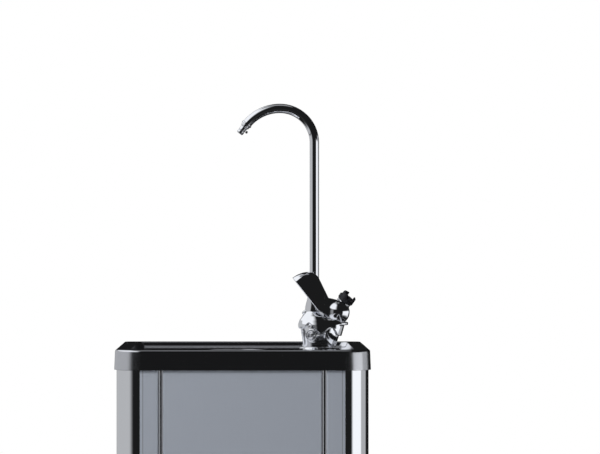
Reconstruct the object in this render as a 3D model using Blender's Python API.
"""Drinking water fountain: a stainless cabinet, a pressed top, a lever bubbler tap and a gooseneck glass filler.

X runs to the right, Y away from the front, Z up. The origin is on the floor, under the middle of the cabinet.
Heights on the taps are measured from the top of the rim.
"""

from math import cos, pi, radians, sin, sqrt

import bmesh
import bpy
from mathutils import Matrix, Vector

MM = 0.001

# Fits
GAP = 0.3 * MM
SHEET = 1.2 * MM

# Cabinet
CABINET_HEIGHT = 1000 * MM
CABINET_WIDTH = 310 * MM
CABINET_DEPTH = 310 * MM
CORNER_RADIUS = 32 * MM
BACK_CORNER_RADIUS = 5 * MM
FOOT_HEIGHT = 20 * MM
FOOT_RADIUS = 17 * MM
FOOT_INSET = 34 * MM
STUD_RADIUS = 4 * MM
BASE_HEIGHT = 40 * MM
SKIN_CLEARANCE_UNDER = 6 * MM
SIDE_STRIP = 58.5 * MM
FRONT_PANEL_WIDTH = CABINET_WIDTH - 2 * SIDE_STRIP
TRIM_WIDTH = 6 * MM
BEAD_RADIUS = 1.1 * MM
PANEL_RETURN = 8 * MM
BACK_RETURN = 16 * MM
FRAME_HEIGHT = 20 * MM
FRAME_FLANGE = 5 * MM
SHELF_HEIGHT = 560 * MM
SHELF_FLANGE = 24 * MM

# Back panel
VENT_ROWS = 6
VENT_PITCH = 24 * MM
VENT_LENGTH = 90 * MM
VENT_SLOT = 6 * MM
VENT_FIRST_HEIGHT = 60 * MM

# Top tray
RIM_OVERHANG = 2 * MM
RIM_FLARE = 1 * MM
RIM_HEIGHT = 25 * MM
RIM_FOLD_RADIUS = 3 * MM
BORDER_WIDTH = 21 * MM
DECK_DEPTH = 6.5 * MM
BOWL_RADIUS = 72 * MM
BOWL_DEPTH = 24 * MM
BOWL_X = -22 * MM
DRAIN_RADIUS = 17 * MM

# Waste
STRAINER_RADIUS = 27 * MM
STRAINER_THICKNESS = 1.5 * MM
STRAINER_HOLES = 8
WASTE_WALL = 2 * MM
WASTE_LENGTH = 58 * MM
WASTE_FLANGE = 6 * MM
WASHER_THICKNESS = 3 * MM
WASTE_NUT_HEIGHT = 9 * MM
WASTE_NUT_RADIUS = 25 * MM
DRAIN_PIPE_RADIUS = 13 * MM

# Bubbler tap
TAP_X = 97 * MM
TAP_Y = -28 * MM
TAP_BASE_RADIUS = 20 * MM
TAP_WAIST_HEIGHT = 28 * MM
TAP_WAIST_HALF_WIDTH = 27.5 * MM
TAP_WAIST_SHIFT = 2 * MM
TAP_TOP_HEIGHT = 40 * MM
TAP_STEP = 1.1 * MM
SHANK_RADIUS = 9 * MM
SHANK_LENGTH = 34 * MM
SHANK_BORE = 5 * MM
GASKET_THICKNESS = 1 * MM
BACK_NUT_HEIGHT = 8 * MM
BACK_NUT_RADIUS = 15 * MM
HEAD_X = 120.4 * MM
HEAD_HEIGHT = 41.7 * MM
HEAD_RADIUS = 14 * MM
LIP_RADIUS = 12.3 * MM
LIP_HEIGHT = 29 * MM
LIP_THICKNESS = 4.4 * MM
CAP_HEIGHT = 14.5 * MM
CAP_RADIUS = 5.6 * MM
CAP_THICKNESS = 2.2 * MM
CAP_TURN = radians(-24)
CAP_SCREW_RADIUS = 2.2 * MM

# Lever
LEVER_WALL = 1.8 * MM
LEVER_INNER_HALF_WIDTH = HEAD_RADIUS + GAP
LEVER_TIP = (64 * MM, 87 * MM)
LEVER_BEND = (95.8 * MM, 46 * MM)
LEVER_RISE = 25.2 * MM
PIVOT_X = 116.6 * MM
PIVOT_HEIGHT = 39 * MM
PIN_RADIUS = 2.2 * MM
PIN_HEAD_RADIUS = 3.4 * MM
PIN_HEAD_THICKNESS = 1.2 * MM

# Spout barrel and mouth guard
BARREL_ANGLE = radians(54.5)
BARREL_TILT = radians(14)
BARREL_RADIUS = 9.3 * MM
BARREL_START = 8 * MM
BARREL_LENGTH = 18.3 * MM
BARREL_BORE = 4 * MM
GUARD_RADIUS = 10.4 * MM
GUARD_LENGTH = 6.4 * MM
GUARD_WALL = 2 * MM
PRONGS = 3
PRONG_LENGTH = 4.2 * MM
PRONG_WIDTH = 8.5 * MM
PRONG_TURN = pi

# Glass filler tap
FILLER_X = 91.8 * MM
FILLER_Y = 20 * MM
FILLER_BASE_RADIUS = 19 * MM
FILLER_NECK_RADIUS = 8.8 * MM
FILLER_NECK_HEIGHT = 62 * MM
GLAND_HEIGHT = 10 * MM
GLAND_RADIUS = 9.5 * MM
BUTTON_ANGLE = radians(55)
BUTTON_RADIUS = 5 * MM
BUTTON_END = (79.2 * MM, 44.6 * MM)
BUTTON_LENGTH = 8 * MM
BUTTON_STEM_RADIUS = 2.4 * MM
BUTTON_STEM_LENGTH = 7 * MM
BUTTON_TRAVEL = 3 * MM

# Gooseneck
TUBE_RADIUS = 6 * MM
TUBE_BORE = 4.4 * MM
TUBE_FOOT = 56 * MM
GOOSENECK_SPRING_HEIGHT = 258.5 * MM
GOOSENECK_NEAR_RADIUS = 44 * MM
GOOSENECK_FAR_RADIUS = 55 * MM
GOOSENECK_FAR_SWEEP = radians(52)
FERRULE_LENGTH = 2.6 * MM
FERRULE_RADIUS = 6.9 * MM
NOZZLE_RADIUS = 4.5 * MM
NOZZLE_LENGTH = 12.5 * MM
NOZZLE_BORE = 2.8 * MM
NOZZLE_SCREW_RADIUS = 1.75 * MM
NOZZLE_SCREW_REACH = 7.7 * MM

# Works inside the cabinet
INSIDE_HALF_WIDTH = CABINET_WIDTH / 2 - SHEET - GAP
TANK_PIPE_GAP = 17 * MM
TANK_SIDE_GAP = 21.5 * MM
TANK_RADIUS = (INSIDE_HALF_WIDTH - BOWL_X - DRAIN_PIPE_RADIUS - TANK_PIPE_GAP - TANK_SIDE_GAP) / 2
TANK_HEIGHT = 190 * MM
TANK_X = BOWL_X + DRAIN_PIPE_RADIUS + TANK_PIPE_GAP + TANK_RADIUS
TANK_Y = 0
COIL_RADIUS = 3.2 * MM
COIL_TURNS = 5
COIL_PITCH = 26 * MM
FEED_RADIUS = 3.2 * MM
COMPRESSOR_RADIUS = 60 * MM
COMPRESSOR_HEIGHT = 130 * MM
COMPRESSOR_SIDE_GAP = 23.5 * MM
COMPRESSOR_PIPE_STEPS = 108 * MM
COMPRESSOR_X = COMPRESSOR_RADIUS + COMPRESSOR_SIDE_GAP - INSIDE_HALF_WIDTH
COMPRESSOR_Y = BOWL_X - COMPRESSOR_X - COMPRESSOR_PIPE_STEPS
CONDENSER_WIDTH = 210 * MM
CONDENSER_HEIGHT = 180 * MM
CONDENSER_DEPTH = 26 * MM
CONDENSER_FINS = 15
SHROUD_DEPTH = 22 * MM
FAN_RADIUS = 68 * MM
FAN_BLADES = 5
FAN_CLEARANCE = 3 * MM
MOTOR_RADIUS = 21 * MM
MOTOR_LENGTH = 34 * MM
MOTOR_SHAFT = 3 * MM
THERMOSTAT_SIZE = (44 * MM, 30 * MM, 26 * MM)
THERMOSTAT_X = -95 * MM
THERMOSTAT_Y = 40 * MM
INLET_X = 60 * MM
INLET_HEIGHT = 420 * MM
INLET_RADIUS = 10 * MM
SOCKET_X = -60 * MM
SOCKET_Z = 250 * MM
SOCKET_WIDTH = 27 * MM
SOCKET_HEIGHT = 20 * MM


TURN_TO_FRONT = Matrix.Rotation(pi / 2, 3, "X")


def rim(height):
    """World height of a point measured from the top of the rim."""
    return CABINET_HEIGHT + height


def clear_scene():
    for obj in list(bpy.data.objects):
        bpy.data.objects.remove(obj, do_unlink=True)


def finish_of(name, colour, roughness, metallic):
    """Principled material of one sub-part."""
    material = bpy.data.materials.new(name)
    material.use_nodes = True
    shader = material.node_tree.nodes["Principled BSDF"]
    shader.inputs["Base Color"].default_value = (*colour, 1)
    shader.inputs["Roughness"].default_value = roughness
    shader.inputs["Metallic"].default_value = metallic
    material.diffuse_color = (*colour, 1)
    return material


def chrome(name):
    return finish_of(name + "_chrome", (0.82, 0.83, 0.86), 0.06, 1)


def satin(name):
    return finish_of(name + "_satin_steel", (0.50, 0.53, 0.58), 0.38, 1)


def polished(name):
    return finish_of(name + "_polished_steel", (0.72, 0.73, 0.77), 0.12, 1)


def zinc(name):
    return finish_of(name + "_zinc", (0.60, 0.61, 0.60), 0.45, 1)


def brass(name):
    return finish_of(name + "_brass", (0.71, 0.55, 0.27), 0.3, 1)


def copper(name):
    return finish_of(name + "_copper", (0.75, 0.40, 0.27), 0.32, 1)


def black_plastic(name):
    return finish_of(name + "_plastic", (0.03, 0.03, 0.035), 0.5, 0)


def white_plastic(name):
    return finish_of(name + "_white_plastic", (0.80, 0.80, 0.78), 0.45, 0)


def black_enamel(name):
    return finish_of(name + "_enamel", (0.02, 0.02, 0.022), 0.35, 0)


def rubber(name):
    return finish_of(name + "_rubber", (0.04, 0.04, 0.04), 0.8, 0)


def add(name, bm, material, location=(0, 0, 0), turn=None, smooth=35, closed=True):
    """Turns a bmesh into a named object, placed and with its material. A closed one gets outward faces."""
    if closed:
        bmesh.ops.recalc_face_normals(bm, faces=bm.faces)
    mesh = bpy.data.meshes.new(name)
    bm.to_mesh(mesh)
    bm.free()
    mesh.shade_smooth()
    mesh.set_sharp_from_angle(angle=radians(smooth))
    obj = bpy.data.objects.new(name, mesh)
    bpy.context.collection.objects.link(obj)
    obj.location = location
    if turn is not None:
        obj.rotation_euler = turn.to_euler()
    if material is not None:
        mesh.materials.append(material)
    return obj


def aim(direction):
    """Rotation that carries +Z onto a direction, with local Y staying near world Y."""
    z = Vector(direction).normalized()
    x = Vector((0, 1, 0)).cross(z)
    if x.length < 1e-6:
        x = Vector((1, 0, 0))
    x.normalize()
    y = z.cross(x)
    return Matrix((x, y, z)).transposed()


def turned(profile, steps=24, closed=False):
    """Spins (radius, height) points round Z. An open profile starts and ends on the axis."""
    bm = bmesh.new()
    points = [bm.verts.new((radius, 0, height)) for radius, height in profile]
    edges = [bm.edges.new(pair) for pair in zip(points, points[1:])]
    if closed:
        edges.append(bm.edges.new((points[-1], points[0])))
    bmesh.ops.spin(
        bm, geom=points + edges, axis=(0, 0, 1), cent=(0, 0, 0), angle=2 * pi, steps=steps, use_merge=True
    )
    bmesh.ops.remove_doubles(bm, verts=bm.verts, dist=1e-6)
    return bm


def lofted(loops, capped=True):
    """Skins a list of closed loops that have equally many points."""
    bm = bmesh.new()
    rings = [[bm.verts.new(point) for point in loop] for loop in loops]
    count = len(rings[0])
    for lower, upper in zip(rings, rings[1:]):
        for i in range(count):
            j = (i + 1) % count
            bm.faces.new((lower[i], lower[j], upper[j], upper[i]))
    if capped:
        bm.faces.new(reversed(rings[0]))
        bm.faces.new(rings[-1])
    return bm


def prism(outline, low, high):
    """Extrudes a flat (x, y) outline from one height to another."""
    return lofted([[(x, y, low) for x, y in outline], [(x, y, high) for x, y in outline]])


def box(x0, x1, y0, y1, z0, z1):
    return prism([(x0, y0), (x1, y0), (x1, y1), (x0, y1)], z0, z1)


def arc(centre, radius, start, end, steps):
    """Points of an arc in a plane, both ends included, with the angles in degrees."""
    angles = [radians(start + (end - start) * i / steps) for i in range(steps + 1)]
    return [(centre[0] + radius * cos(a), centre[1] + radius * sin(a)) for a in angles]


def rounded(half_x, half_y, front_radius, back_radius, steps=5):
    """Outline of a rectangle with round corners, anticlockwise from the right."""
    points = []
    for turn, (sx, sy) in enumerate(((1, 1), (-1, 1), (-1, -1), (1, -1))):
        radius = back_radius if sy > 0 else front_radius
        centre = (sx * (half_x - radius), sy * (half_y - radius))
        points += arc(centre, radius, 90 * turn, 90 * turn + 90, steps)
    return points


def ring_of(radius, count, centre=(0, 0), shift=0.5):
    """Evenly spaced points of a circle, to match the points of a rounded rectangle."""
    angles = [2 * pi * (i + shift) / count for i in range(count)]
    return [(centre[0] + radius * cos(a), centre[1] + radius * sin(a)) for a in angles]


def swept(path, radius, bore=0.0, sides=12):
    """Round bar, or tube with a bore, along a path in the XZ plane."""
    count = len(path)
    frames = []
    for i in range(count):
        ahead = Vector(path[min(i + 1, count - 1)]) - Vector(path[max(i - 1, 0)])
        frames.append(ahead.normalized().cross(Vector((0, 1, 0))).normalized())

    def loop(i, size):
        angles = [2 * pi * k / sides for k in range(sides)]
        side = frames[i]
        centre = Vector(path[i])
        return [centre + side * (size * cos(a)) + Vector((0, size * sin(a), 0)) for a in angles]

    loops = [loop(i, radius) for i in range(count)]
    if not bore:
        return lofted(loops)
    loops += [loop(i, bore) for i in reversed(range(count))]
    return lofted(loops + [loops[0]], capped=False)


def cut(obj, *cutters):
    """Cuts each cutter from an object and keeps it hidden."""
    for cutter in cutters:
        combine(obj, cutter, "DIFFERENCE")


def combine(obj, other, operation, solver="EXACT"):
    other.hide_render = True
    other.display_type = "WIRE"
    modifier = obj.modifiers.new(other.name, "BOOLEAN")
    modifier.operation = operation
    modifier.solver = solver
    modifier.object = other


def drill(name, radius, place, direction, length, steps=20):
    """Cylinder cutter that starts at a place and runs along a direction."""
    bm = turned([(0, length), (radius, length), (radius, 0), (0, 0)], steps)
    return add(name, bm, None, place, aim(direction))


def folded_sheet(name, path, low, high, material):
    """Sheet-metal wall: a path seen from above, raised to a height and thickened to its left."""
    left = []
    for i, point in enumerate(path):
        before = Vector(path[max(i - 1, 0)])
        after = Vector(path[min(i + 1, len(path) - 1)])
        here = Vector(point)
        sides = [
            Vector((-d.y, d.x)).normalized() for d in (here - before, after - here) if d.length > 1e-9
        ]
        normal = sum(sides, Vector((0, 0))).normalized()
        left.append(here + normal * (SHEET / max(normal.dot(sides[0]), 0.5)))
    outline = [tuple(point) for point in path] + [tuple(point) for point in reversed(left)]
    return add(name, prism(outline, low, high), material, smooth=30)


def half_width():
    return CABINET_WIDTH / 2


def half_depth():
    return CABINET_DEPTH / 2


def skin_low():
    return FOOT_HEIGHT + SKIN_CLEARANCE_UNDER


def skin_high():
    """Top edge of the skins, under the fold of the rim."""
    return rim(-RIM_FOLD_RADIUS - SHEET)


def strip_edge():
    """Distance of the side panel's front edge from the middle."""
    return FRONT_PANEL_WIDTH / 2 + TRIM_WIDTH + 2 * GAP


def inside_half(size):
    """Half of a cabinet size, inside the skins."""
    return size / 2 - SHEET - GAP


def side_panel(name, side):
    """One sheet that turns the front corner, runs along the side and returns at the back."""
    w, d = half_width(), half_depth()
    r, b = CORNER_RADIUS, BACK_CORNER_RADIUS
    path = [(strip_edge(), -d + PANEL_RETURN), (strip_edge(), -d)]
    path += arc((w - r, -d + r), r, -90, 0, 8)
    path += arc((w - b, d - b), b, 0, 90, 3)
    path += [(w - b - BACK_RETURN, d)]
    if side < 0:
        path = [(-x, y) for x, y in reversed(path)]
    return folded_sheet(name, path, skin_low(), skin_high(), satin(name))


def front_panel():
    half, front = FRONT_PANEL_WIDTH / 2, -half_depth()
    path = [(-half, front + PANEL_RETURN), (-half, front), (half, front), (half, front + PANEL_RETURN)]
    return folded_sheet("front_panel", path, skin_low(), skin_high(), satin("front_panel"))


def joint_trim(name, side):
    """Narrow strip between two panels, with two half-round beads that stand in the joint."""
    low, high = FRONT_PANEL_WIDTH / 2 + GAP, FRONT_PANEL_WIDTH / 2 + GAP + TRIM_WIDTH
    middle, front = (low + high) / 2, -half_depth()
    outline = [(low, front + PANEL_RETURN), (low, front + BEAD_RADIUS)]
    outline += arc((low + BEAD_RADIUS, front + BEAD_RADIUS), BEAD_RADIUS, 180, 360, 6)
    outline += [(low + 2 * BEAD_RADIUS, front + 3 * BEAD_RADIUS), (middle, front + 3 * BEAD_RADIUS)]
    outline += [(high - 2 * BEAD_RADIUS, front + 3 * BEAD_RADIUS)]
    outline += arc((high - BEAD_RADIUS, front + BEAD_RADIUS), BEAD_RADIUS, 180, 360, 6)
    outline += [(high, front + PANEL_RETURN)]
    if side < 0:
        outline = [(-x, y) for x, y in reversed(outline)]
    return add(name, prism(outline, skin_low(), skin_high()), polished(name))


def inside_loops(steps):
    """Outlines that follow the inside of the skins, each a step inwards, and stop behind the front returns."""
    half_x, half_y = inside_half(CABINET_WIDTH), inside_half(CABINET_DEPTH)
    corner = CORNER_RADIUS - SHEET - GAP
    back = BACK_CORNER_RADIUS - SHEET - GAP
    front = -half_y + PANEL_RETURN + SHEET
    loops = []
    for inward, height in steps:
        outline = rounded(half_x - inward, half_y - inward, corner - inward, max(back - inward, MM))
        loops.append([(x, max(y, front + inward), height) for x, y in outline])
    return loops


def base_tray():
    """Pan with turned-up sides. The feet screw through it and the panels close round it."""
    floor, top = FOOT_HEIGHT + GAP, FOOT_HEIGHT + BASE_HEIGHT
    loops = inside_loops(((0, floor), (0, top), (SHEET, top), (SHEET, floor + SHEET)))
    obj = add("base_tray", lofted(loops), zinc("base_tray"))
    for i, (x, y) in enumerate(foot_places()):
        cut(obj, drill(f"foot_hole_{i + 1}", STUD_RADIUS + GAP, (x, y, 0), (0, 0, 1), 2 * FOOT_HEIGHT))
    outlet = (BOWL_X, 0, 0)
    cut(obj, drill("outlet_hole", DRAIN_PIPE_RADIUS + GAP, outlet, (0, 0, 1), 2 * FOOT_HEIGHT))
    return obj


def foot_places():
    x, y = half_width() - FOOT_INSET, half_depth() - FOOT_INSET
    return [(-x, -y), (x, -y), (x, y), (-x, y)]


def levelling_feet():
    """Pad, hexagon and stud turned in one."""
    shoulder = FOOT_HEIGHT
    profile = [
        (0, shoulder + 22 * MM),
        (STUD_RADIUS, shoulder + 22 * MM),
        (STUD_RADIUS, shoulder),
        (FOOT_RADIUS * 0.55, shoulder),
        (FOOT_RADIUS * 0.55, shoulder * 0.62),
        (FOOT_RADIUS * 0.8, shoulder * 0.45),
        (FOOT_RADIUS, shoulder * 0.25),
        (FOOT_RADIUS, 0),
        (0, 0),
    ]
    for i, (x, y) in enumerate(foot_places()):
        name = f"levelling_foot_{i + 1}"
        add(name, turned(profile, 12), black_plastic(name), (x, y, 0))


def back_panel():
    """Flat sheet between the side panels' returns, with rows of vents and two inlets."""
    half = half_width() - BACK_CORNER_RADIUS - BACK_RETURN - GAP
    y = half_depth()
    obj = add("back_panel", box(-half, half, y - SHEET, y, skin_low(), skin_high()), zinc("back_panel"))
    for row in range(VENT_ROWS):
        z = VENT_FIRST_HEIGHT + row * VENT_PITCH
        for side in (-1, 1):
            end = VENT_SLOT / 2 - GAP / 10
            outline = rounded(VENT_LENGTH / 2, VENT_SLOT / 2, end, end, 2)
            x = side * (VENT_LENGTH / 2 + 8 * MM)
            bm = prism(outline, -3 * SHEET, 3 * SHEET)
            cut(obj, add(f"vent_{row + 1}_{side + 2}", bm, None, (x, y, z), TURN_TO_FRONT))
    inlet = (INLET_X, y - 2 * SHEET, INLET_HEIGHT)
    cut(obj, drill("inlet_hole", INLET_RADIUS + GAP, inlet, (0, 1, 0), 4 * SHEET))
    half_x, half_z = SOCKET_WIDTH / 2 + GAP, SOCKET_HEIGHT / 2 + GAP
    bm = box(-half_x, half_x, -half_z, half_z, -2 * SHEET, 2 * SHEET)
    cut(obj, add("socket_hole", bm, None, (SOCKET_X, y, SOCKET_Z), TURN_TO_FRONT))
    return obj


def top_frame():
    """Angle frame inside the skins that carries the top tray."""
    top, low = rim(-SHEET - GAP), rim(-SHEET - GAP) - FRAME_HEIGHT
    fold = RIM_FOLD_RADIUS
    steps = ((0, low), (0, top - fold), (fold - SHEET, top), (FRAME_FLANGE, top), (FRAME_FLANGE, top - SHEET))
    steps += ((fold, top - SHEET), (SHEET, top - fold - SHEET), (SHEET, low), (0, low))
    return add("top_frame", lofted(inside_loops(steps), capped=False), zinc("top_frame"))


def equipment_shelf():
    """Shelf with turned-down sides, for the cold tank."""
    top, low = SHELF_HEIGHT, SHELF_HEIGHT - SHELF_FLANGE
    loops = inside_loops(((SHEET, top - SHEET), (SHEET, low), (0, low), (0, top)))
    obj = add("equipment_shelf", lofted(loops), zinc("equipment_shelf"))
    hole = (BOWL_X, 0, top - 2 * SHEET)
    cut(obj, drill("shelf_hole", DRAIN_PIPE_RADIUS + GAP, hole, (0, 0, 1), 4 * SHEET))
    return obj


def top_tray():
    """Pressed top: rim turned down all round, raised border, sunk deck and a bowl with the drain hole."""
    w = half_width() + RIM_OVERHANG
    d = half_depth() + RIM_OVERHANG
    corner, back_corner = CORNER_RADIUS + RIM_OVERHANG, BACK_CORNER_RADIUS + RIM_OVERHANG
    fold, inner = RIM_FOLD_RADIUS, BORDER_WIDTH
    outer = [(-RIM_FLARE, -RIM_HEIGHT), (-RIM_FLARE * 0.3, -RIM_HEIGHT * 0.4), (0, -fold)]
    outer += [(fold * 0.3, -fold * 0.3), (fold, 0)]
    wall = [(inner - fold, 0), (inner - fold * 0.4, -fold * 0.25), (inner, -fold * 0.8)]
    wall += [(inner + SHEET, -DECK_DEPTH + fold * 0.4), (inner + fold, -DECK_DEPTH)]
    loops = []
    for inward, height in outer + wall:
        outline = rounded(w - inward, d - inward, corner - inward * 0.6, back_corner + max(inward, 0) * 0.4)
        loops.append([(x, y, rim(height)) for x, y in outline])
    count = len(loops[0])
    for share, depth in ((1, 0), (0.96, 0.06), (0.9, 0.3), (0.8, 0.62), (0.62, 0.9), (0.38, 1)):
        circle = ring_of(BOWL_RADIUS * share, count, (BOWL_X, 0))
        loops.append([(x, y, rim(-DECK_DEPTH - BOWL_DEPTH * depth)) for x, y in circle])
    circle = ring_of(DRAIN_RADIUS, count, (BOWL_X, 0))
    loops.append([(x, y, bowl_floor()) for x, y in circle])
    bm = lofted(loops, capped=False)
    obj = add("top_tray", bm, polished("top_tray"), closed=False)
    sheet = obj.modifiers.new("sheet", "SOLIDIFY")
    sheet.thickness = SHEET
    sheet.offset = -1
    sheet.use_even_offset = True
    for name, x, y in (("bubbler_hole", TAP_X, TAP_Y), ("filler_hole", FILLER_X, FILLER_Y)):
        place = (x, y, rim(-DECK_DEPTH - 3 * SHEET))
        cut(obj, drill(name, SHANK_RADIUS + GAP, place, (0, 0, 1), 6 * SHEET))
    return obj


def bowl_floor():
    """World height of the bowl at its drain hole."""
    return rim(-DECK_DEPTH - BOWL_DEPTH)


def waste():
    """Strainer in the bowl, flanged tail under it, washer, nut and drain pipe."""
    floor = bowl_floor()
    r = DRAIN_RADIUS - GAP
    top = floor + GAP + WASTE_WALL
    low = top - WASTE_LENGTH
    flange = DRAIN_RADIUS + WASTE_FLANGE
    profile = [(r - WASTE_WALL, top), (flange, top), (flange, floor + GAP)]
    profile += [(r, floor + GAP), (r, low), (r - WASTE_WALL, low)]
    place = (BOWL_X, 0, 0)
    add("waste_body", turned(profile, 24, closed=True), chrome("waste_body"), place)
    seat = top + GAP
    profile = [(0, seat + STRAINER_THICKNESS), (STRAINER_RADIUS * 0.8, seat + STRAINER_THICKNESS)]
    foot = STRAINER_RADIUS * 0.86
    profile += [(foot, seat + STRAINER_THICKNESS * 0.5), (foot, seat), (0, seat)]
    strainer = add("drain_strainer", turned(profile, 24), chrome("drain_strainer"), place)
    for i in range(STRAINER_HOLES):
        a = 2 * pi * i / STRAINER_HOLES
        x, y = BOWL_X + DRAIN_RADIUS * 0.62 * cos(a), DRAIN_RADIUS * 0.62 * sin(a)
        hole = drill(f"strainer_hole_{i + 1}", 2.6 * MM, (x, y, seat - MM), (0, 0, 1), 5 * MM, 8)
        combine(strainer, hole, "DIFFERENCE", "MANIFOLD")
    hole = drill("strainer_screw_hole", 2.2 * MM + GAP, (BOWL_X, 0, seat - MM), (0, 0, 1), 5 * MM, 12)
    combine(strainer, hole, "DIFFERENCE", "MANIFOLD")
    head = seat + STRAINER_THICKNESS + GAP
    profile = [(0, head + 1.8 * MM), (2.4 * MM, head + 1.5 * MM), (4 * MM, head), (2.2 * MM, head)]
    profile += [(2.2 * MM, head - 12 * MM), (0, head - 12 * MM)]
    add("strainer_screw", turned(profile, 16), chrome("strainer_screw"), place)
    under = floor - SHEET - GAP
    bore = r + GAP
    profile = [(bore, under), (WASTE_NUT_RADIUS, under), (WASTE_NUT_RADIUS, under - WASHER_THICKNESS)]
    profile += [(bore, under - WASHER_THICKNESS)]
    add("waste_washer", turned(profile, 24, closed=True), rubber("waste_washer"), place)
    under -= WASHER_THICKNESS + GAP
    nut(place, "waste_nut", bore, WASTE_NUT_RADIUS, under, WASTE_NUT_HEIGHT, 8, zinc("waste_nut"))
    bend = [(BOWL_X, 0, low + 14 * MM), (BOWL_X, 0, FOOT_HEIGHT * 0.6)]
    pipe = swept(bend, DRAIN_PIPE_RADIUS, DRAIN_PIPE_RADIUS - WASTE_WALL + GAP, 20)
    add("drain_pipe", pipe, white_plastic("drain_pipe"))


def nut(place, name, bore, radius, top, height, sides, material):
    """Flat-sided nut with a round bore, hanging down from a height."""
    steps = 2 * sides
    outer = []
    for i in range(steps):
        a = 2 * pi * i / steps
        flat = (a % (2 * pi / sides)) - pi / sides
        reach = radius * cos(pi / sides) / cos(flat)
        outer.append((reach * cos(a), reach * sin(a)))
    inner = ring_of(bore / cos(pi / steps), steps, shift=0)
    rings = [(outer, top), (inner, top), (inner, top - height), (outer, top - height), (outer, top)]
    loops = [[(x, y, z) for x, y in outline] for outline, z in rings]
    return add(name, lofted(loops, capped=False), material, place, smooth=25)


def deck():
    return rim(-DECK_DEPTH)


def tap_fixings(name, x, y, radius):
    """Gasket on the deck and back nut under it."""
    bore = SHANK_RADIUS + GAP
    low = deck() + GAP
    profile = [(bore, low + GASKET_THICKNESS), (radius, low + GASKET_THICKNESS), (radius, low), (bore, low)]
    add(name + "_gasket", turned(profile, 18, closed=True), rubber(name + "_gasket"), (x, y, 0))
    under = deck() - SHEET - GAP
    material = brass(name + "_back_nut")
    nut((x, y, 0), name + "_back_nut", bore, BACK_NUT_RADIUS, under, BACK_NUT_HEIGHT, 6, material)


def tap_seat():
    """Height of the underside of a tap body."""
    return deck() + 2 * GAP + GASKET_THICKNESS


def step_height(angle):
    """Wavy edge round the bubbler's body where its upper casting stands over the conical foot."""
    return (14 + 8 * max(0, cos(angle + 0.9)) ** 2 - 4 * cos(2 * angle)) * MM


def bubbler_form(height, angle):
    """Point of the bubbler's cast body: a conical foot that opens to a waist, then closes to a shoulder."""
    foot = tap_seat() - rim(0)
    rise = (height - foot) / (TAP_WAIST_HEIGHT - foot)
    if rise <= 1:
        swell = rise ** 1.15
        a = TAP_BASE_RADIUS + (TAP_WAIST_HALF_WIDTH - TAP_BASE_RADIUS) * swell
        b = TAP_BASE_RADIUS - 5.6 * MM * rise ** 2
        shift = TAP_WAIST_SHIFT * swell
    else:
        close = min(1, (height - TAP_WAIST_HEIGHT) / (TAP_TOP_HEIGHT - TAP_WAIST_HEIGHT))
        a = TAP_WAIST_HALF_WIDTH * sqrt(1 - 0.75 * close**2)
        b = (TAP_BASE_RADIUS - 5.6 * MM) * sqrt(1 - 0.8 * close**2)
        shift = TAP_WAIST_SHIFT * (1 + close)
    above = max(0, min(1, (height - step_height(angle)) / (1.2 * MM)))
    front = max(0, cos(angle + pi / 2 - 0.5))
    proud = TAP_STEP * above * front * max(0, 1.0 - max(0, rise - 0.9) * 4)
    x = TAP_X + shift + (a + proud) * cos(angle)
    return (x, TAP_Y + (b + proud) * sin(angle), rim(height))


def bubbler_body():
    """Cast body with its spike, ball head, lip, boss for the cap and threaded shank."""
    foot = tap_seat() - rim(0)
    heights = [foot + (TAP_TOP_HEIGHT - foot) * (i / 17) for i in range(18)]
    angles = [2 * pi * i / 32 for i in range(32)]
    loops = [[bubbler_form(h, a) for a in angles] for h in heights]
    obj = add("bubbler_body", lofted(loops), chrome("bubbler_body"))
    r, n = HEAD_RADIUS, 10
    profile = [(r * sin(pi * i / n), r * cos(pi * i / n)) for i in range(n + 1)]
    profile[0], profile[-1] = (0, r), (0, -r)
    ball = add("head_ball", turned(profile, 20), None, (HEAD_X, TAP_Y, rim(HEAD_HEIGHT)))
    half = LIP_THICKNESS / 2
    profile = [(0, half), (LIP_RADIUS * 0.9, half), (LIP_RADIUS, half * 0.3), (LIP_RADIUS, -half * 0.4)]
    profile += [(LIP_RADIUS * 0.85, -half), (0, -half)]
    lip = add("head_lip", turned(profile, 20), None, (HEAD_X + MM / 2, TAP_Y, rim(LIP_HEIGHT)))
    spike = add("spike", spike_form(), None)
    profile = [(0, 2 * MM), (SHANK_RADIUS, 2 * MM), (SHANK_RADIUS, -SHANK_LENGTH), (0, -SHANK_LENGTH)]
    shank = add("bubbler_shank", turned(profile, 24), None, (TAP_X, TAP_Y, tap_seat()))
    boss = add("cap_boss", boss_form(), None, cap_place(-1.5 * MM), cap_turn())
    for other in (ball, lip, spike, shank, boss):
        combine(obj, other, "UNION")
    pin = (PIVOT_X, TAP_Y - 2 * HEAD_RADIUS, rim(PIVOT_HEIGHT))
    cut(obj, drill("pin_bore", PIN_RADIUS + GAP, pin, (0, 1, 0), 4 * HEAD_RADIUS, 16))
    start = barrel_point(BARREL_START - GAP)
    cut(obj, drill("barrel_bore", barrel_root() + GAP, start, barrel_axis(), 20 * MM, 20))
    shank_end = (TAP_X, TAP_Y, tap_seat() - SHANK_LENGTH - MM)
    cut(obj, drill("bubbler_bore", SHANK_BORE, shank_end, (0, 0, 1), SHANK_LENGTH + 18 * MM, 16))
    return obj


def spike_form():
    """Horn on the upper left of the body, which points up under the lever."""
    loops = []
    sections = ((20, 86, 13, 9), (32, 83.5, 10, 8), (39, 85, 7.4, 7))
    sections += ((45, 86.4, 4, 5.4), (49, 87.2, 1.8, 3.8), (52, 87.6, 0.7, 2))
    for height, x, half_x, half_y in sections:
        ring = ring_of(1, 14)
        loops.append([(x * MM + half_x * MM * u, TAP_Y + half_y * MM * v, rim(height * MM)) for u, v in ring])
    return lofted(loops)


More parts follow.
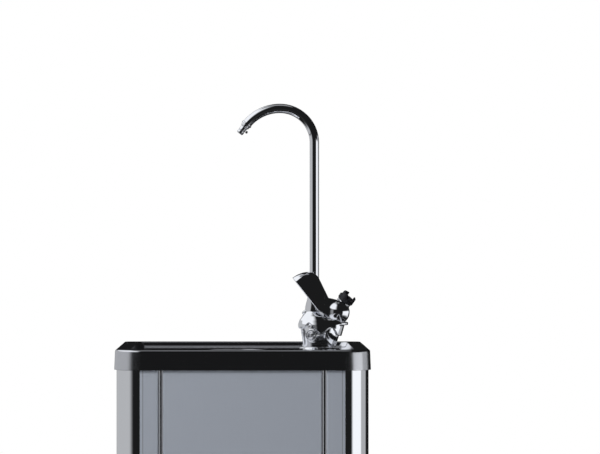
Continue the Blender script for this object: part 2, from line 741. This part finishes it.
def cap_turn():
    normal = Vector((sin(CAP_TURN), -cos(CAP_TURN), 0))
    up = Vector((0, 0, 1))
    return Matrix((up.cross(normal), up, normal)).transposed()


def cap_place(out):
    """Point on the cap's axis, a distance out from the body's surface."""
    normal = Vector((sin(CAP_TURN), -cos(CAP_TURN), 0))
    surface = Vector((TAP_X - 10.5 * MM, TAP_Y - 17.6 * MM, rim(CAP_HEIGHT)))
    return surface + normal * out


def boss_form():
    """Teardrop boss round the cap, with its point upwards."""
    size = CAP_RADIUS + 2 * MM
    outline = arc((0, 0), size, -210, 30, 14)
    outline += [(size * 0.35, size * 1.25), (0, size * 1.9), (-size * 0.35, size * 1.25)]
    return prism(outline, -3 * MM, 2 * MM)


def body_cap():
    """Round cap with a dished face and its screw."""
    r, t = CAP_RADIUS, CAP_THICKNESS
    seat = 0.5 * MM + GAP
    profile = [(CAP_SCREW_RADIUS + GAP, t * 0.55), (r * 0.62, t * 0.5), (r * 0.78, t), (r * 0.92, t * 0.85)]
    profile += [(r, t * 0.4), (r, 0), (CAP_SCREW_RADIUS + GAP, 0)]
    add("body_cap", turned(profile, 20, closed=True), chrome("body_cap"), cap_place(seat), cap_turn())
    s = CAP_SCREW_RADIUS
    profile = [(0, t * 1.05), (s * 0.6, t), (s, t * 0.6), (s, 0), (0, 0)]
    add("cap_screw", turned(profile, 12), chrome("cap_screw"), cap_place(seat), cap_turn())


def barrel_axis():
    """Direction of the spout barrel: up to the right, tipped a little to the front."""
    x, z = cos(BARREL_ANGLE), sin(BARREL_ANGLE)
    return Vector((x * cos(BARREL_TILT), -sin(BARREL_TILT), z * cos(BARREL_TILT)))


def barrel_point(along):
    start = Vector((HEAD_X - 1.8 * MM, TAP_Y + 2.5 * MM, rim(HEAD_HEIGHT + 1.2 * MM)))
    return start + barrel_axis() * along


def barrel_root():
    """Radius of the barrel's plug in the head."""
    return BARREL_RADIUS - 2.5 * MM


def spout_barrel():
    """Turned barrel: a plug in the head, a waist and a nose for the mouth guard."""
    r, n, l = BARREL_RADIUS, BARREL_BORE, BARREL_LENGTH
    waist = HEAD_RADIUS + 2 * GAP
    profile = [(n, l), (r - 3 * MM, l), (r, l - 0.8 * MM), (r, waist), (barrel_root(), waist)]
    profile += [(barrel_root(), BARREL_START + GAP), (n, BARREL_START + GAP)]
    bm = turned(profile, 24, closed=True)
    return add("spout_barrel", bm, chrome("spout_barrel"), barrel_point(0), aim(barrel_axis()))


def mouth_guard():
    """Ring round the outlet with three prongs that keep the lips off it."""
    r, wall = GUARD_RADIUS, GUARD_WALL
    low, high = BARREL_LENGTH + GAP, BARREL_LENGTH + GUARD_LENGTH
    tip = high + PRONG_LENGTH
    bore = r - wall - MM
    profile = [(bore, tip), (r - 1.4 * MM, tip), (r, high - MM), (r, low), (bore, low)]
    ring = turned(profile, 36, closed=True)
    obj = add("mouth_guard", ring, chrome("mouth_guard"), barrel_point(0), aim(barrel_axis()))
    half_gap = pi / PRONGS - PRONG_WIDTH / (2 * r)
    for i in range(PRONGS):
        middle = 2 * pi * (i + 0.5) / PRONGS + PRONG_TURN
        turns = (middle - half_gap, middle, middle + half_gap)
        wedge = prism([(0, 0)] + [(2 * r * cos(a), 2 * r * sin(a)) for a in turns], high, tip + MM)
        cut(obj, add(f"prong_gap_{i + 1}", wedge, None, barrel_point(0), aim(barrel_axis())))
    return obj


def lever_rise(along):
    """Height of the lever's back over its rim, at a distance from the tip."""
    share = min(1, along / (17.5 * MM))
    swell = sqrt(max(0, 1 - (1 - share) ** 2))
    return LEVER_RISE * swell - max(0, along - 20 * MM) * 0.21


def lever_loops(inset, length):
    """Sections of the hood from near the tip to the foot, open towards the rim plane."""
    tip, bend = Vector(LEVER_TIP), Vector(LEVER_BEND)
    down = (bend - tip).normalized()
    normal = Vector((-down.y, down.x))
    loops = []
    for share in (0.012, 0.05, 0.11, 0.2, 0.32, 0.45, 0.6, 0.8, 1):
        along = length * share
        inner = along if inset == 0 else max(along, inset * 1.2 + length * share * 0.97)
        half = (LEVER_INNER_HALF_WIDTH + LEVER_WALL) * min(1, 0.30 + sqrt(share) * 1.25) - inset
        rise = lever_rise(inner) - inset
        section = []
        for k in range(13):
            a = pi * k / 12
            u, v = cos(a), sin(a) ** 0.8 if 0 < k < 12 else 0
            base = tip + down * inner + normal * (max(rise, MM / 2) * v - (2 * MM if inset else 0))
            section.append((base.x, TAP_Y + half * u, rim(base.y)))
        loops.append(section)
    return loops


def push_lever():
    """Scoop-shaped lever whose cheeks straddle the body and hang on the cross pin."""
    tip, bend = Vector(LEVER_TIP), Vector(LEVER_BEND)
    length = (bend - tip).length
    obj = add("push_lever", lofted(lever_loops(0, length)), chrome("push_lever"))
    hollow = add("lever_hollow", lofted(lever_loops(LEVER_WALL, length)), None)
    outer = LEVER_INNER_HALF_WIDTH + LEVER_WALL
    pivot = Vector((PIVOT_X, PIVOT_HEIGHT))
    side = [bend - (bend - tip).normalized() * 8 * MM, bend, Vector((110 * MM, 35 * MM))]
    side += [pivot + Vector((6.4 * MM * cos(a), 6.4 * MM * sin(a))) for a in (-2.2, -1.7, -1.1, -0.5, 0.1, 0.7)]
    side += [Vector((112.5 * MM, 52 * MM)), Vector((109 * MM, 59 * MM)), Vector((105.5 * MM, 67 * MM))]
    yoke_loops = [[(p.x, TAP_Y + y, rim(p.y)) for p in side] for y in (-outer, outer)]
    yoke = add("lever_yoke", lofted(yoke_loops), None)
    slot = []
    for x, z in ((80, 20), (140, 20), (140, 58), (110.5, 58), (106.5, 55.5), (98, 60), (90, 66)):
        slot.append(Vector((x * MM, z * MM)))
    inner = LEVER_INNER_HALF_WIDTH
    slot_loops = [[(p.x, TAP_Y + y, rim(p.y)) for p in slot] for y in (-inner, inner)]
    slot = add("lever_slot", lofted(slot_loops), None)
    combine(obj, yoke, "UNION")
    cut(obj, hollow, slot)
    start = (PIVOT_X, TAP_Y - 2 * outer, rim(PIVOT_HEIGHT))
    cut(obj, drill("lever_pin_hole", PIN_RADIUS + GAP, start, (0, 1, 0), 4 * outer, 16))
    place_origin(obj, (PIVOT_X, TAP_Y, rim(PIVOT_HEIGHT)))
    return obj


def place_origin(obj, point):
    """Puts an object's origin, and those of its cutters, on its joint's axis."""
    shift = Vector(point)
    obj.data.transform(Matrix.Translation(-shift))
    obj.location = shift


def lever_pin():
    outer = LEVER_INNER_HALF_WIDTH + LEVER_WALL + GAP
    head = outer + PIN_HEAD_THICKNESS
    profile = [(0, head), (PIN_HEAD_RADIUS * 0.8, head), (PIN_HEAD_RADIUS, outer + GAP), (PIN_HEAD_RADIUS, outer)]
    profile += [(PIN_RADIUS, outer), (PIN_RADIUS, -outer)]
    profile += [(PIN_HEAD_RADIUS, -outer), (PIN_HEAD_RADIUS, -outer - GAP)]
    profile += [(PIN_HEAD_RADIUS * 0.8, -head), (0, -head)]
    place = (PIVOT_X, TAP_Y, rim(PIVOT_HEIGHT))
    return add("lever_pin", turned(profile, 16), chrome("lever_pin"), place, aim((0, 1, 0)))


def valve_cartridge(name, x, y, top):
    """Sealed self-closing valve in the body's bore."""
    r = SHANK_BORE - GAP
    low = tap_seat() - SHANK_LENGTH + 12 * MM
    profile = [(0, top), (r * 0.5, top), (r * 0.5, top - 4 * MM), (r, top - 5 * MM), (r, low + 6 * MM)]
    profile += [(r * 0.7, low + 5 * MM), (r * 0.7, low), (0, low)]
    return add(name, turned(profile, 16), brass(name), (x, y, 0))


def filler_body():
    """Conical body with a shank below, a neck for the gooseneck and a boss for the push button."""
    foot, r = tap_seat(), FILLER_BASE_RADIUS
    neck = rim(FILLER_NECK_HEIGHT)
    profile = [(0, neck), (FILLER_NECK_RADIUS, neck), (11.9 * MM, rim(50 * MM)), (13.6 * MM, rim(34 * MM))]
    profile += [(15.5 * MM, rim(14 * MM)), (r, foot + 4 * MM), (r, foot), (SHANK_RADIUS, foot)]
    profile += [(SHANK_RADIUS, foot - SHANK_LENGTH), (0, foot - SHANK_LENGTH)]
    obj = add("filler_body", turned(profile, 24), chrome("filler_body"), (FILLER_X, FILLER_Y, 0))
    end = button_point(-BUTTON_TRAVEL - MM)
    length = 17 * MM
    profile = [(0, 0), (BUTTON_RADIUS + 1.6 * MM, 0), (BUTTON_RADIUS + 1.6 * MM, -length), (0, -length)]
    boss = add("button_boss", turned(profile, 20), None, end, aim(button_axis()))
    combine(obj, boss, "UNION")
    x, y = FILLER_X, FILLER_Y
    shank_end = (x, y, foot - SHANK_LENGTH - MM)
    cut(obj, drill("filler_bore", SHANK_BORE, shank_end, (0, 0, 1), SHANK_LENGTH + 40 * MM, 16))
    tube_foot = (x, y, rim(TUBE_FOOT) - GAP)
    cut(obj, drill("gooseneck_socket", TUBE_RADIUS + GAP, tube_foot, (0, 0, 1), 20 * MM, 20))
    pocket = button_point(-BUTTON_LENGTH - BUTTON_TRAVEL - GAP)
    cut(obj, drill("button_pocket", BUTTON_RADIUS + GAP, pocket, button_axis(), 20 * MM, 20))
    reach = BUTTON_LENGTH + BUTTON_STEM_LENGTH + BUTTON_TRAVEL + GAP
    cut(obj, drill("button_bore", BUTTON_STEM_RADIUS + GAP, button_point(-reach), button_axis(), reach, 16))
    return obj


def button_axis():
    """Direction in which the filler's push button sticks out."""
    return Vector((-cos(BUTTON_ANGLE), 0, sin(BUTTON_ANGLE)))


def button_point(along):
    return Vector((BUTTON_END[0], FILLER_Y, rim(BUTTON_END[1]))) + button_axis() * along


def filler_button():
    """Mushroom button on a stem, with its skirt over the boss."""
    r, s = BUTTON_RADIUS, BUTTON_STEM_RADIUS
    low = -BUTTON_LENGTH
    end = low - BUTTON_STEM_LENGTH
    profile = [(0, 0), (r * 0.7, 0), (r, -1.2 * MM), (r, low), (s, low), (s, end), (0, end)]
    form = turned(profile, 20)
    return add("filler_button", form, chrome("filler_button"), button_point(0), aim(button_axis()))


def gland_nut():
    """Nut that holds the gooseneck in the filler body and lets it swivel."""
    low = rim(FILLER_NECK_HEIGHT) + GAP
    top = low + GLAND_HEIGHT
    bore = TUBE_RADIUS + GAP
    material = chrome("gooseneck_gland_nut")
    nut((FILLER_X, FILLER_Y, 0), "gooseneck_gland_nut", bore, GLAND_RADIUS, top, GLAND_HEIGHT, 6, material)


def gooseneck_path():
    """Centreline of the gooseneck: upright, a near bend to the top and a wider bend down to the outlet."""
    near, far = GOOSENECK_NEAR_RADIUS, GOOSENECK_FAR_RADIUS
    spring = rim(GOOSENECK_SPRING_HEIGHT)
    path = [(FILLER_X, rim(TUBE_FOOT)), (FILLER_X, rim(FILLER_NECK_HEIGHT + GLAND_HEIGHT + MM))]
    path += arc((FILLER_X - near, spring), near, 0, 90, 12)
    end = 90 + GOOSENECK_FAR_SWEEP * 180 / pi
    path += arc((FILLER_X - near, spring + near - far), far, 90, end, 8)[1:]
    places = [Vector((x, FILLER_Y, z)) for x, z in path]
    return places + [places[-1] + outlet_axis() * MM]


def outlet_axis():
    """Direction in which the water leaves the gooseneck."""
    return Vector((-cos(GOOSENECK_FAR_SWEEP), 0, -sin(GOOSENECK_FAR_SWEEP)))


def gooseneck():
    path = gooseneck_path()
    bm = swept(path, TUBE_RADIUS, TUBE_BORE, 12)
    obj = add("gooseneck_tube", bm, chrome("gooseneck_tube"))
    place_origin(obj, (FILLER_X, FILLER_Y, rim(TUBE_FOOT)))
    end = Vector(path[-1])
    turn = aim(outlet_axis())
    r, bore = NOZZLE_RADIUS, NOZZLE_BORE
    spigot = TUBE_BORE - 3 * GAP
    seat = GAP
    profile = [(bore, -3 * MM), (bore, seat + NOZZLE_LENGTH), (r - MM / 2, seat + NOZZLE_LENGTH)]
    profile += [(r, seat + NOZZLE_LENGTH - MM / 2), (r, seat + 2 * MM)]
    profile += [(TUBE_RADIUS, seat + MM), (TUBE_RADIUS, seat)]
    profile += [(spigot, seat), (spigot, -3 * MM)]
    add("spout_nozzle", turned(profile, 20, closed=True), chrome("spout_nozzle"), end, turn)
    inner, outer, back = TUBE_RADIUS + GAP, FERRULE_RADIUS, -FERRULE_LENGTH
    profile = [(inner, back), (inner, 0), (outer - GAP, 0), (outer, -GAP)]
    profile += [(outer, back + GAP), (outer - GAP, back)]
    ferrule_at = end - outlet_axis() * MM
    add("spout_ferrule", turned(profile, 20, closed=True), chrome("spout_ferrule"), ferrule_at, turn)
    across = outlet_axis().cross(Vector((0, 1, 0)))
    if across.z > 0:
        across = -across
    s = NOZZLE_SCREW_RADIUS
    start = NOZZLE_RADIUS + GAP - NOZZLE_SCREW_REACH
    profile = [(0, 0), (s * 0.8, 0), (s, -s * 0.4), (s, start), (0, start)]
    at = end + outlet_axis() * 6 * MM + across * NOZZLE_SCREW_REACH
    add("nozzle_screw", turned(profile, 12), chrome("nozzle_screw"), at, aim(across))


def floor():
    """Height of whatever stands on the base tray."""
    return FOOT_HEIGHT + 2 * GAP + SHEET


def compressor():
    """Welded can on its mounting plate."""
    r, h = COMPRESSOR_RADIUS, COMPRESSOR_HEIGHT
    profile = [(0, h), (r * 0.5, h * 0.97), (r * 0.8, h * 0.88), (r * 0.92, h * 0.72), (r * 0.92, h * 0.52)]
    profile += [(r, h * 0.5), (r, h * 0.46), (r * 0.92, h * 0.44), (r * 0.92, h * 0.2), (r * 0.7, h * 0.07)]
    profile += [(r * 0.7, h * 0.04), (r, h * 0.04), (r, 0), (0, 0)]
    add("compressor", turned(profile, 20), black_enamel("compressor"), (COMPRESSOR_X, COMPRESSOR_Y, floor()))


def condenser():
    """Finned block at the back panel's vents."""
    half, depth, fins = CONDENSER_WIDTH / 2, CONDENSER_DEPTH, CONDENSER_FINS
    pitch = CONDENSER_WIDTH / (fins - 0.5)
    root = depth * 0.3
    outline = [(half, 0), (half, depth)]
    for i in range(fins):
        x = half - i * pitch
        outline += [(x - pitch / 2, depth)]
        if i < fins - 1:
            outline += [(x - pitch / 2, root), (x - pitch, root), (x - pitch, depth)]
    outline += [(-half, 0)]
    bm = prism(outline, 0, CONDENSER_HEIGHT)
    finish = finish_of("condenser_aluminium", (0.7, 0.7, 0.72), 0.4, 1)
    add("condenser", bm, finish, (0, fan_back() + GAP, floor()))


def fan_back():
    """Depth at which the fan shroud meets the condenser."""
    return half_depth() - SHEET - 5 * MM - CONDENSER_DEPTH


def fan_place():
    return (0, fan_back(), floor() + CONDENSER_HEIGHT / 2)


def fan_shroud():
    """Tray-shaped shroud with a round opening and three arms to the motor's seat."""
    half_x, half_z, depth = CONDENSER_WIDTH / 2, CONDENSER_HEIGHT / 2, SHROUD_DEPTH
    place = fan_place()
    outline = rounded(half_x, half_z, 4 * MM, 4 * MM, 2)
    obj = add("fan_shroud", prism(outline, 0, depth), zinc("fan_shroud"), place, TURN_TO_FRONT)
    inner = rounded(half_x - SHEET, half_z - SHEET, 3 * MM, 3 * MM, 2)
    pocket = add("shroud_pocket", prism(inner, -MM, depth - SHEET), None, place, TURN_TO_FRONT)
    cut(obj, pocket, drill("fan_opening", FAN_RADIUS + FAN_CLEARANCE, place, (0, -1, 0), 2 * depth, 32))
    reach = FAN_RADIUS + FAN_CLEARANCE + 6 * MM
    for i in range(3):
        a = 2 * pi * i / 3 + pi / 2
        bm = box(MOTOR_RADIUS * 0.6, reach, -4 * MM, 4 * MM, depth - SHEET / 2, depth + 3 * MM)
        bm.transform(Matrix.Rotation(a, 4, "Z"))
        combine(obj, add(f"fan_arm_{i + 1}", bm, None, place, TURN_TO_FRONT), "UNION")
    front = depth + 3 * MM
    profile = [(MOTOR_SHAFT + MM, front), (MOTOR_RADIUS, front), (MOTOR_RADIUS, depth - SHEET / 2)]
    profile += [(MOTOR_SHAFT + MM, depth - SHEET / 2)]
    seat = add("motor_seat", turned(profile, 20, closed=True), None, place, TURN_TO_FRONT)
    combine(obj, seat, "UNION")
    return obj


def fan_motor():
    low = SHROUD_DEPTH + 3 * MM + GAP
    high, r, s = low + MOTOR_LENGTH, MOTOR_RADIUS, MOTOR_SHAFT
    profile = [(0, high), (r * 0.8, high), (r, high - 3 * MM), (r, low), (s, low), (s, 7 * MM), (0, 7 * MM)]
    add("fan_motor", turned(profile, 20), black_enamel("fan_motor"), fan_place(), TURN_TO_FRONT)


def fan_rotor():
    """Hub on the motor's shaft with pitched blades."""
    hub, tip = 17 * MM, FAN_RADIUS
    bore = MOTOR_SHAFT + GAP
    profile = [(0, 7 * MM - GAP), (bore, 7 * MM - GAP), (bore, 17 * MM), (hub, 17 * MM), (hub, 4 * MM), (0, 4 * MM)]
    obj = add("fan_rotor", turned(profile, 20), black_plastic("fan_rotor"), fan_place(), TURN_TO_FRONT)
    for i in range(FAN_BLADES):
        loops = []
        for share in (0, 0.35, 0.7, 1):
            reach = hub - 2 * MM + (tip - hub + 2 * MM) * share
            pitch = radians(38 - 18 * share)
            half = (13 + 9 * share) * MM * (0.75 if share == 1 else 1)
            rise = min(half * sin(pitch), 5.5 * MM)
            t = 0.8 * MM
            flat = half * cos(pitch)
            rim_points = ((-flat, -rise - t), (flat, rise - t), (flat, rise + t), (-flat, -rise + t))
            loops.append([(reach, u, 10.5 * MM + v) for u, v in rim_points])
        bm = lofted(loops)
        bm.transform(Matrix.Rotation(2 * pi * i / FAN_BLADES, 4, "Z"))
        combine(obj, add(f"fan_blade_{i + 1}", bm, None, fan_place(), TURN_TO_FRONT), "UNION")
    return obj


def cold_tank():
    """Domed tank on the shelf with two outlets on top."""
    r, h = TANK_RADIUS, TANK_HEIGHT
    profile = [(0, h), (r * 0.5, h - 2 * MM), (r * 0.85, h - 10 * MM), (r, h - 22 * MM)]
    profile += [(r, 6 * MM), (r * 0.94, 0), (0, 0)]
    seat = SHELF_HEIGHT + GAP
    obj = add("cold_tank", turned(profile, 28), polished("cold_tank"), (TANK_X, TANK_Y, seat))
    for i, y in enumerate((-1, 1)):
        place = (TANK_X, TANK_Y + y * TANK_RADIUS / 3, seat + h - 8 * MM)
        outlet = turned([(0, 14 * MM), (6 * MM, 14 * MM), (6 * MM, 0), (0, 0)], 12)
        combine(obj, add(f"tank_outlet_{i + 1}", outlet, None, place), "UNION")
    return obj


def cooling_coil():
    """Copper coil wound round the tank."""
    steps, sides = 16, 5
    r = (TANK_RADIUS + GAP) / cos(pi / steps) + COIL_RADIUS
    loops = []
    for i in range(COIL_TURNS * steps + 1):
        a = 2 * pi * i / steps
        z = SHELF_HEIGHT + 28 * MM + COIL_PITCH * i / steps
        ring = [2 * pi * k / sides for k in range(sides)]
        loops.append(
            [
                ((r + COIL_RADIUS * cos(b)) * cos(a), (r + COIL_RADIUS * cos(b)) * sin(a), z + COIL_RADIUS * sin(b))
                for b in ring
            ]
        )
    add("cooling_coil", lofted(loops), copper("cooling_coil"), (TANK_X, TANK_Y, 0))


def feed_tube(name, side, x, y):
    """Tube from a tank outlet up into a tap's shank."""
    low = SHELF_HEIGHT + 2 * GAP + TANK_HEIGHT + 6 * MM
    high = tap_seat() - SHANK_LENGTH + 12 * MM - GAP
    start = (TANK_X, TANK_Y + side * TANK_RADIUS / 3)
    loops = []
    for i in range(13):
        share = i / 12
        ease = min(1, share * 1.35)
        ease = ease * ease * (3 - 2 * ease)
        centre = (start[0] + (x - start[0]) * ease, start[1] + (y - start[1]) * ease)
        ring = ring_of(FEED_RADIUS, 8, centre)
        loops.append([(u, v, low + (high - low) * share) for u, v in ring])
    add(name, lofted(loops), white_plastic(name))


def thermostat():
    x, y, z = THERMOSTAT_SIZE
    outline = rounded(x / 2, y / 2, 3 * MM, 3 * MM, 2)
    place = (THERMOSTAT_X, THERMOSTAT_Y, SHELF_HEIGHT + GAP)
    add("thermostat", prism(outline, 0, z), white_plastic("thermostat"), place)


def inlet_valve():
    """Water inlet union through the back panel."""
    r, back = INLET_RADIUS, half_depth()
    profile = [(4 * MM, 2 * MM), (r, 2 * MM), (r, -SHEET - GAP), (r + 4 * MM, -SHEET - GAP)]
    profile += [(r + 4 * MM, -8 * MM), (r * 0.8, -9 * MM), (r * 0.8, -24 * MM), (4 * MM, -24 * MM)]
    place = (INLET_X, back, INLET_HEIGHT)
    add("inlet_valve", turned(profile, 20, closed=True), brass("inlet_valve"), place, aim((0, 1, 0)))


def power_inlet():
    """Appliance socket in the back panel, with a recess for a plug and no cord."""
    half_x, half_z = SOCKET_WIDTH / 2, SOCKET_HEIGHT / 2
    place = (SOCKET_X, half_depth(), SOCKET_Z)
    bm = box(-half_x, half_x, -half_z, half_z, -MM, 20 * MM)
    obj = add("power_inlet", bm, black_plastic("power_inlet"), place, TURN_TO_FRONT)
    wide, tall = half_x + 3 * MM, half_z + 3 * MM
    flange = box(-wide, wide, -tall, tall, SHEET + GAP, 5 * MM)
    combine(obj, add("socket_flange", flange, None, place, TURN_TO_FRONT), "UNION")
    recess = box(-half_x + 2 * MM, half_x - 2 * MM, -half_z + 2 * MM, half_z - 2 * MM, -2 * MM, 15 * MM)
    cut(obj, add("socket_recess", recess, None, place, TURN_TO_FRONT))
    return obj


def main():
    clear_scene()
    side_panel("left_side_panel", -1)
    side_panel("right_side_panel", 1)
    front_panel()
    joint_trim("left_joint_trim", -1)
    joint_trim("right_joint_trim", 1)
    base_tray()
    levelling_feet()
    back_panel()
    top_frame()
    equipment_shelf()
    top_tray()
    waste()
    tap_fixings("bubbler", TAP_X, TAP_Y, TAP_BASE_RADIUS + MM)
    tap_fixings("filler", FILLER_X, FILLER_Y, FILLER_BASE_RADIUS + MM)
    bubbler_body()
    body_cap()
    push_lever()
    lever_pin()
    spout_barrel()
    mouth_guard()
    valve_cartridge("bubbler_valve", TAP_X, TAP_Y, tap_seat() + 14 * MM)
    filler_body()
    valve_cartridge("filler_valve", FILLER_X, FILLER_Y, tap_seat() + 24 * MM)
    filler_button()
    gland_nut()
    gooseneck()
    compressor()
    condenser()
    fan_shroud()
    fan_motor()
    fan_rotor()
    cold_tank()
    cooling_coil()
    feed_tube("bubbler_feed_tube", -1, TAP_X, TAP_Y)
    feed_tube("filler_feed_tube", 1, FILLER_X, FILLER_Y)
    thermostat()
    inlet_valve()
    power_inlet()


if __name__ == "__main__":
    main()
